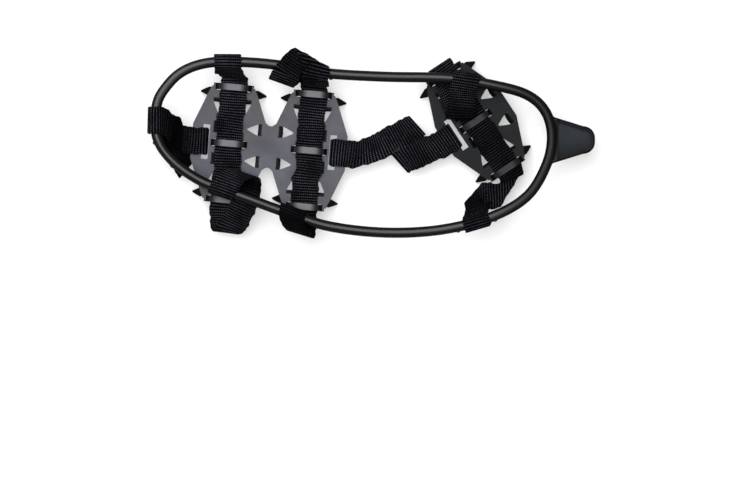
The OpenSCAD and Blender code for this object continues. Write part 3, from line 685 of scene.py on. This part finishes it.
for piece in (toeStrap, toeRowStrap, ballRowStrap, connectFront):
    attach(piece, "ring")
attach(heelRun, "heel_strap")

# stretches from the ring's end to the heel strap's, with a start and an end point each
connectBend = {"start": (0.041, -0.004, 0.012), "end": (0.053, 0.003, 0.012)}
loopBend = {"start": (0.066, 0.041, 0.022), "end": (0.066, 0.021, 0.022)}
endBend = {"start": (0.080, -0.046, 0.018), "end": (0.098, -0.030, 0.012)}
for piece, bend in ((connectHeel, connectBend), (heelLoop, loopBend), (heelEnd, endBend)):
    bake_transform(piece)
print("webbing made")


# stitches: rows of arched threads across each sewn end

stitchSizes = {"rowLength": 14.0, "rowStep": 3.52, "pitch": 2.35, "thread": 0.34, "length": 1.9, "arch": 0.35,
               "sink": 0.12}


# a tree with its geometry, its sizes in millimetres and its material as named inputs
def newTree(name, geometry, sizes, material, result):
    tree = bpy.data.node_groups.new(name, "GeometryNodeTree")
    socket = tree.interface.new_socket
    socket(geometry, in_out="INPUT", socket_type="NodeSocketGeometry")
    for label, size in sizes.items():
        socket(label, in_out="INPUT", socket_type="NodeSocketFloat").default_value = size * mm
    socket(material, in_out="INPUT", socket_type="NodeSocketMaterial")
    socket(result, in_out="OUTPUT", socket_type="NodeSocketGeometry")
    return tree, tree.nodes.new("NodeGroupInput").outputs


def endTree(tree, geometry, material):
    whole = addNode(tree, "GeometryNodeRealizeInstances", Geometry=geometry)
    tinted = addNode(tree, "GeometryNodeSetMaterial", Geometry=whole, Material=material)
    addNode(tree, "NodeGroupOutput", in0=tinted)
    return tree


def stitchTree():
    tree, given = newTree("stitch rows", "Rows", {
        "Pitch": stitchSizes["pitch"], "Thread Radius": stitchSizes["thread"] / 2,
        "Stitch Length": stitchSizes["length"], "Arch": stitchSizes["arch"]}, "Thread", "Stitches")
    rows = addNode(tree, "GeometryNodeMeshToCurve", Mesh=given["Rows"])
    spread = addNode(tree, "GeometryNodeResampleCurve", {"mode": "LENGTH"}, Curve=rows, Length=given["Pitch"])
    up = addNode(tree, "GeometryNodeInputNamedAttribute", {"data_type": "FLOAT_VECTOR"}, Name="up")
    along = addNode(tree, "GeometryNodeInputTangent")
    turned = addNode(tree, "FunctionNodeAlignRotationToVector", {"axis": "X"}, Vector=along)
    turned = addNode(tree, "FunctionNodeAlignRotationToVector", {"axis": "Z", "pivot_axis": "X"},
                     Rotation=turned, Vector=up)
    half = addNode(tree, "ShaderNodeMath", times, in0=given["Stitch Length"], in1=0.5)
    back = addNode(tree, "ShaderNodeMath", times, in0=half, in1=-1.0)
    dip = addNode(tree, "ShaderNodeMath", times, in0=given["Arch"], in1=-1.0)
    first = addNode(tree, "ShaderNodeCombineXYZ", X=back, Z=dip)
    middle = addNode(tree, "ShaderNodeCombineXYZ", Z=given["Arch"])
    final = addNode(tree, "ShaderNodeCombineXYZ", X=half, Z=dip)
    arch = addNode(tree, "GeometryNodeCurveQuadraticBezier", Resolution=8, Start=first, Middle=middle,
                   End=final)
    section = addNode(tree, "GeometryNodeCurvePrimitiveCircle", Resolution=8, Radius=given["Thread Radius"])
    thread = addNode(tree, "GeometryNodeCurveToMesh", Curve=arch, Profile_Curve=section, Fill_Caps=True)
    sown = addNode(tree, "GeometryNodeInstanceOnPoints", Points=spread, Instance=thread, Rotation=turned)
    return endTree(tree, sown, given["Thread"])


def plainMesh(made):
    bpy.context.view_layer.update()
    done = bpy.data.meshes.new_from_object(made.evaluated_get(bpy.context.evaluated_depsgraph_get()))
    made.modifiers.clear()
    made.data = done
    done.polygons.foreach_set("use_smooth", [True] * len(done.polygons))
    return made


# what a tree makes of a mesh; its material is set by the input's identifier
def grow(name, mesh, tree, materialInput, material):
    made = addObject(name, mesh)
    modifier = made.modifiers.new(tree.name, "NODES")
    modifier.node_group = tree
    sockets = {item.name: item.identifier for item in tree.interface.items_tree if item.in_out == "INPUT"}
    modifier[sockets[materialInput]] = material
    return plainMesh(made)


stitches = stitchTree()


# two rows between a station and the next, on the webbing's upper or lower face
def stitchRows(node, route, index, face):
    a, b = route[index], route[index + 1]
    middle, side = (a[0] + b[0]) / 2, unit(a[1] + b[1])
    up = face * unit(np.cross(b[0] - a[0], side))
    ahead = np.cross(up, side)
    lift = strapSizes["thick"] / 2 - stitchSizes["sink"]
    ends = []
    for row in (-0.5, 0.5):
        p = middle + row * stitchSizes["rowStep"] * ahead + lift * up
        ends += [p - side * stitchSizes["rowLength"] / 2, p + side * stitchSizes["rowLength"] / 2]
    mesh = bpy.data.meshes.new(node + "_thread")
    mesh.from_pydata([tuple(p * mm) for p in ends], [(0, 1), (2, 3)], [])
    mark = mesh.attributes.new("up", "FLOAT_VECTOR", "POINT")
    mark.data.foreach_set("vector", np.tile(up, len(ends)))
    made = grow(node + "_thread", mesh, stitches, "Thread", threadMaterial)
    return dress(made, threadMaterial, "thread", node)


heelWhole = loopPart + runPart + endPart
connectWhole = frontPart + middlePart + heelPart
for node, route, index, face in (
        ("toe_loop_stitching", toeRoute(), 14, 1), ("toe_slot_stitching", toeRoute(), 17, 1),
        ("toe_row_top_stitching", toeRowRoute(), 11, 1), ("toe_row_end_stitching", toeRowRoute(), 25, 1),
        ("ball_row_top_stitching", ballRowRoute(), 0, 1), ("ball_row_end_stitching", ballRowRoute(), 29, -1),
        ("front_slot_stitching", connectWhole, 9, 1)):
    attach(stitchRows(node, route, index, face), "ring")
for node, route, index, bend in (
        ("heel_slot_stitching", connectWhole, 27, connectBend),
        ("heel_top_stitching", heelWhole, 8, loopBend), ("heel_end_stitching", heelWhole, 27, endBend)):
    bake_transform(stitchRows(node, route, index, 1))
print("stitches made")


# rubber ring: cord, stop nubs and pull tab, moulded in one

def mouldingTree():
    tree, given = newTree("cord and nubs", "Path And Points", {
        "Cord Radius": ringSizes["cord"] / 2, "Nub Radius": ringSizes["nub"] / 2}, "Rubber", "Moulding")
    path = addNode(tree, "GeometryNodeMeshToCurve", Mesh=given["Path And Points"])
    section = addNode(tree, "GeometryNodeCurvePrimitiveCircle", Resolution=40, Radius=given["Cord Radius"])
    cord = addNode(tree, "GeometryNodeCurveToMesh", Curve=path, Profile_Curve=section)
    marked = addNode(tree, "GeometryNodeInputNamedAttribute", {"data_type": "BOOLEAN"}, Name="nub")
    ball = addNode(tree, "GeometryNodeMeshUVSphere", Segments=20, Rings=14, Radius=given["Nub Radius"])
    nubs = addNode(tree, "GeometryNodeInstanceOnPoints", Points=given["Path And Points"], Selection=marked,
                   Instance=ball)
    joined = addNode(tree, "GeometryNodeJoinGeometry", Geometry=cord)
    setInputs(tree, joined, Geometry=nubs)
    return endTree(tree, joined, given["Rubber"])


def cordAndNubs():
    count = len(ringKnots) * ringSizes["pointsEach"]
    points = [ringPoint(i / ringSizes["pointsEach"]) for i in range(count)]
    hang = np.array([0, -ringSizes["nubAside"], ringSizes["nub"] / 2 - ringSizes["nubLow"]])
    for t in ringLoops.values():
        points += [ringPoint(t) + sign * ringSizes["nubStep"] * ringAlong(t) + hang for sign in (-1, 1)]
    mesh = bpy.data.meshes.new("rubber_ring")
    mesh.from_pydata([tuple(p * mm) for p in points], [(i, (i + 1) % count) for i in range(count)], [])
    isNub = [i >= count for i in range(len(points))]
    mesh.attributes.new("nub", "BOOLEAN", "POINT").data.foreach_set("value", isNub)
    return grow("rubber_ring", mesh, mouldingTree(), "Rubber", rubberMaterial)


# rim and dish: inset from the outline, and depth below the face
tabSizes = {"at": 13.15, "reach": 31.0, "root": 34.0, "tip": 20.0, "tipRound": 8.5, "thick": 5.0,
            "crown": 0.9, "rim": [(1.2, 0), (0.35, 0.45), (0, 1.3)],
            "dish": [(2.1, 0.15), (3.0, 0.9), (4.4, 1.0)]}
tabStraight = tabSizes["reach"] - tabSizes["tipRound"]


def tabOutline(inset, count=12):
    r, tip = tabSizes["tipRound"] - inset, tabSizes["tip"] / 2 - tabSizes["tipRound"]
    root = tabSizes["root"] / 2 - inset
    points = [(0, -root)]
    for sign in (-1, 1):
        for i in range(count + 1):
            a = math.radians(-90 + 90 * i / count + (90 if sign > 0 else 0))
            points.append((tabStraight + r * math.cos(a), sign * tip + r * math.sin(a)))
    return points + [(0, root)]


def pullTab():
    half = tabSizes["thick"] / 2
    levels = [(inset, depth - half) for inset, depth in tabSizes["rim"]]
    levels += [(inset, half - depth) for inset, depth in tabSizes["rim"][::-1] + tabSizes["dish"]]
    verts, faces = [], []
    for inset, z in levels:
        verts += [(x, y, z) for x, y in tabOutline(inset)]
    n = len(tabOutline(0))
    for level in range(len(levels) - 1):
        for k in range(n):
            a, b = level * n + k, level * n + (k + 1) % n
            faces.append((a, b, b + n, a + n))
    faces += [tuple(range(n))[::-1], tuple(range((len(levels) - 1) * n, len(levels) * n))]
    return (np.array(verts) + ringPoint(tabSizes["at"])) * mm, faces


# each pair: where a mark starts, and over how many millimetres it grows
tabMarks = {"top": (0.6, 0.6), "clearOfRing": (3.9, 1.2), "face": (1.0, 4.5), "rimShare": 0.4,
            "dust": 0.66, "dustLean": 0.04, "dustLeast": 0.12}


def grown(value, key):
    start, over = tabMarks[key]
    return np.clip((value - start) / over, 0, 1)


# the tab's dished face, with a slight crown across it and painted shade on its lower half
def markTab(made):
    mesh = made.data
    verts = np.zeros(len(mesh.vertices) * 3)
    mesh.vertices.foreach_get("co", verts)
    verts = verts.reshape(-1, 3)
    local = verts / mm - ringPoint(tabSizes["at"])
    x, y, z = local[:, 0], np.abs(local[:, 1]), local[:, 2]
    root, tip, tipRound = tabSizes["root"] / 2, tabSizes["tip"] / 2, tabSizes["tipRound"]
    side = root + (tip - root) * np.clip(x / tabStraight, 0, 1) - y
    nose = tipRound - np.hypot(np.maximum(x - tabStraight, 0), np.maximum(y - tip + tipRound, 0))
    inset = np.where(x > tabStraight, np.minimum(side, nose), side)
    top = grown(z, "top") * grown(x, "clearOfRing")
    dusty = tabMarks["dust"] + tabMarks["dustLean"] * local[:, 1]  # painted shade: the lower half is darker and the upper half lighter, as the light falls
    dusty = np.clip(dusty, tabMarks["dustLeast"], 1)
    share = top * (tabMarks["rimShare"] + (1 - tabMarks["rimShare"]) * dusty * grown(inset, "face"))
    mesh.attributes.new("tabFace", "FLOAT", "POINT").data.foreach_set("value", share)
    verts[:, 2] -= top * tabSizes["crown"] * (y / root) ** 2 * mm
    mesh.vertices.foreach_set("co", verts.ravel())
    mesh.update()
    return made


def rubberRing():
    made = cordAndNubs()
    work = bmesh.new()
    work.from_mesh(made.data)
    verts, faces = pullTab()
    corners = [work.verts.new(v) for v in verts]
    for f in faces:
        work.faces.new([corners[i] for i in f])
    bmesh.ops.recalc_face_normals(work, faces=work.faces)
    work.to_mesh(made.data)
    work.free()
    remesh = made.modifiers.new("one moulding", "REMESH")
    remesh.mode = "VOXEL"
    remesh.voxel_size = ringSizes["voxel"] * mm
    soft = made.modifiers.new("soft", "SMOOTH")
    soft.factor = 0.5
    soft.iterations = 6
    return markTab(plainMesh(made))


ring = dress(rubberRing(), rubberMaterial, "rubber", "ring")
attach(ring, "ring")
print("ring made:", len(ring.data.polygons), "faces")


# steel plates: the solids' own mesh with rolled edges; marks for painted shade on sloping faces, for rub and
# painted highlight on bridge tops, and for edge faces

# millimetres, then the upward part of a face's normal, then shares of a mark
markSizes = {"barAbove": 0.25, "cornerU": 16.4, "cornerV": 32, "barTop": 0.9, "flat": 0.97, "edgeUp": 0.2,
             "slopeShadeShare": 0.85, "edgeShare": 0.8}
edgeSizes = {"weld": 0.001, "flatAngle": 1, "sharpAngle": 25, "roll": 0.22, "segments": 2, "profile": 0.6}


# how far a place lies from the nearest half's middle line, and along that line
def plateSpot(place, at, turn, halves):
    u, v = spin(place.x / mm - at[0], place.y / mm - at[1], -turn)
    return min((u - h for h in halves), key=abs), v


def markPlate(work, at, turn, halves, edgeFaces):
    marks = {key: work.faces.layers.float.new(key) for key in ("bent", "rubAndHighlight", "edge")}
    aside = work.verts.layers.float.new("across")
    for vert in work.verts:
        vert[aside] = plateSpot(vert.co, at, turn, halves)[0]
    for face in work.faces:
        middle = face.calc_center_median()
        u, v = plateSpot(middle, at, turn, halves)
        up = face.normal.z
        bar = middle.z / mm > sheetTop + markSizes["barAbove"]
        raised = bar or (abs(u) > markSizes["cornerU"] and abs(v) > markSizes["cornerV"])
        rolled = face in edgeFaces and not raised and up > markSizes["edgeUp"]
        # painted shade: faces that slope away from the top, raised bridges and bent corner teeth are darkened
        # as if in shade
        bend = markSizes["slopeShadeShare"] if abs(up) < markSizes["flat"] else 0.0
        # bridge tops get the mark for their rub and painted highlight
        face[marks["rubAndHighlight"]] = 1.0 if bar and up > markSizes["barTop"] else 0.0
        face[marks["bent"]] = 1.0 if raised else bend
        face[marks["edge"]] = markSizes["edgeShare"] if rolled else 0.0


# levels are depths below the sheet's middle
shearSizes = {"kerf": 0.4, "reach": 0.48, "off": 0.01, "step": 0.25, "sunk": 0.12, "into": 0.03,
              "flush": 0.05, "levels": (0, 0.6, 1.4, 2.4, 3.4)}


# the sheared edges of a punched sheet touch: find walls of the sheet that face steel across the kerf
def shearLines(work):
    tree = BVHTree.FromBMesh(work)
    found = []
    for face in work.faces:
        heights = [v.co.z / mm for v in face.verts]
        overSheet = max(abs(max(heights) - sheetTop), abs(min(heights) - sheetBottom))
        if abs(face.normal.z) > shearSizes["flush"] or overSheet > shearSizes["flush"]:
            continue
        ahead = Vector((face.normal.x, face.normal.y, 0)).normalized()
        along = Vector((-ahead.y, ahead.x, 0))
        middle = face.calc_center_median()
        places = [(v.co - middle).dot(along) for v in face.verts]
        count = max(int((max(places) - min(places)) / mm / shearSizes["step"]), 3)
        steps = np.linspace(min(places), max(places), count + 1)
        spots = (steps[:-1] + steps[1:]) / 2
        middle.z = sheetMid * mm
        off, reach = shearSizes["off"] * mm, shearSizes["reach"] * mm
        starts = [middle + ahead * off - Vector((0, 0, drop * mm)) for drop in shearSizes["levels"]]
        facing = [any(tree.ray_cast(start + along * s, ahead, reach)[0] for start in starts) for s in spots]
        touching = [False] + facing + [False]
        firsts = [k for k in range(count) if touching[k + 1] and not touching[k]]
        lasts = [k + 1 for k in range(count) if touching[k + 1] and not touching[k + 2]]
        found += [(middle, along, ahead, steps[a], steps[b]) for a, b in zip(firsts, lasts)]
    return found


def closeShear(work, lines):
    half = sheetTop - sheetMid - shearSizes["sunk"]
    wall, far = -shearSizes["into"], shearSizes["kerf"] - shearSizes["into"]
    sides = ((0, 1, 2, 3), (4, 5, 6, 7), (0, 1, 5, 4), (1, 2, 6, 5), (2, 3, 7, 6), (3, 0, 4, 7))
    for middle, along, ahead, first, last in lines:
        outline = ((first, wall), (last, wall), (last, far), (first, far))
        corners = [work.verts.new(middle + along * s + ahead * (d * mm) + Vector((0, 0, z * mm)))
                   for z in (-half, half) for s, d in outline]
        made = [work.faces.new([corners[i] for i in side]) for side in sides]
        bmesh.ops.recalc_face_normals(work, faces=made)


def plate(name, node, material, slot, body, at, turn, halves):
    work = bmesh.new()
    work.from_mesh(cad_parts[node].data)
    bmesh.ops.remove_doubles(work, verts=work.verts, dist=edgeSizes["weld"] * mm)
    flat, sharp = math.radians(edgeSizes["flatAngle"]), math.radians(edgeSizes["sharpAngle"])
    bmesh.ops.dissolve_limit(work, angle_limit=flat, verts=work.verts, edges=work.edges)
    lines = shearLines(work)
    edges = [e for e in work.edges if len(e.link_faces) == 2 and e.calc_face_angle() > sharp]
    rolled = bmesh.ops.bevel(work, geom=edges, offset=edgeSizes["roll"] * mm, segments=edgeSizes["segments"],
                             profile=edgeSizes["profile"], affect="EDGES", clamp_overlap=True)
    edgeFaces = set(rolled["faces"])
    closeShear(work, lines)
    markPlate(work, at, turn, halves, edgeFaces)
    bmesh.ops.triangulate(work, faces=[f for f in work.faces if len(f.verts) > 4])
    mesh = bpy.data.meshes.new(name)
    work.to_mesh(mesh)
    work.free()
    made = dress(addObject(name, mesh), material, slot, node)
    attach(made, body)
    print(name, "made:", len(lines), "shear lines closed")


plate("front_toothed_plate", "front_plate", frontSteel, "front_steel", "front_plate",
      plateSizes["front"], plateSizes["frontTurn"], (toeRow, ballRow))
plate("heel_toothed_plate", "heel_plate", heelSteel, "heel_steel", "heel_plate",
      plateSizes["heel"], plateSizes["heelTurn"], (0.0,))
print("plates made")


# floor, light and camera

# metres and watts
studioSizes = {"floorHalf": 6, "softbox": {"place": (-0.5, 0.5, 1.5), "size": 2.0, "power": 37.0},
               "fill": {"place": (0.7, -0.5, 1.7), "size": 1.6, "power": 8.0}}


# white paper: matt, seen white, darker in reflections so that steel keeps its tone, clear from below
def paperFloor():
    half = studioSizes["floorHalf"]
    corners = np.array([[-half, -half, 0], [half, -half, 0], [half, half, 0], [-half, half, 0]], float)
    floor = meshObject("floor", corners, [(0, 1, 2, 3)])
    material, tree, shader = newMaterial("white paper floor")
    mirrored = tree.nodes.new("ShaderNodeLightPath").outputs["Is Glossy Ray"]
    tone = addNode(tree, "ShaderNodeMix", colours, Factor=mirrored,
                   in6=hexLinear("#d0d0d0"), in7=hexLinear("#6a6a6a"))
    glow = addNode(tree, "ShaderNodeMapRange", Value=mirrored, To_Min=0.36, To_Max=0.0)
    setInputs(tree, shader, Base_Color=tone.outputs[2], Roughness=1.0, Specular_IOR_Level=0.0,
              Emission_Color=hexLinear("#ffffff"), Emission_Strength=glow)
    below = tree.nodes.new("ShaderNodeNewGeometry")
    clear = tree.nodes.new("ShaderNodeBsdfTransparent")
    sheet = addNode(tree, "ShaderNodeMixShader", Fac=below.outputs["Backfacing"], in1=shader, in2=clear)
    setInputs(tree, tree.nodes["Material Output"], Surface=sheet)
    floor.data.materials.append(material)


def whiteRoom():
    world = bpy.data.worlds.new("soft white room")
    bpy.context.scene.world = world
    world.use_nodes = True
    tree = world.node_tree
    seen = tree.nodes.new("ShaderNodeLightPath").outputs
    mirrored = addNode(tree, "ShaderNodeMapRange", Value=seen["Is Glossy Ray"], To_Min=0.4, To_Max=0.15)
    level = addNode(tree, "ShaderNodeMapRange", Value=seen["Is Camera Ray"], To_Min=mirrored, To_Max=1.0)
    setInputs(tree, tree.nodes["Background"], Color=hexLinear("#ffffff"), Strength=level)


def lamps():
    for name in ("softbox", "fill"):
        lamp = bpy.data.lights.new(name, "AREA")
        lamp.shape = "DISK"
        lamp.size = studioSizes[name]["size"]
        lamp.energy = studioSizes[name]["power"]
        made = addObject(name, lamp)
        made.location = studioSizes[name]["place"]
        made.rotation_mode = "QUATERNION"
        made.rotation_quaternion = (-Vector(made.location)).to_track_quat("-Z", "Y")
        made.visible_camera = False


# millimetres: the photograph's width and the lens's distance, both at one level above the floor
cameraSizes = {"wide": 540.0, "distance": 2600.0, "level": 18.0, "middle": (2.88, -77.04), "sensor": 36.0}


def photoCamera():
    data = bpy.data.cameras.new("camera")
    data.sensor_width = cameraSizes["sensor"]
    data.lens = cameraSizes["sensor"] * cameraSizes["distance"] / cameraSizes["wide"]
    data.clip_end = 20.0
    made = addObject("camera", data)
    x, y = cameraSizes["middle"]
    made.location = (x * mm, y * mm, (cameraSizes["level"] + cameraSizes["distance"]) * mm)
    bpy.context.scene.camera = made


paperFloor()
whiteRoom()
lamps()
photoCamera()
bpy.context.scene.view_settings.view_transform = "Standard"
print("floor, light and camera made")
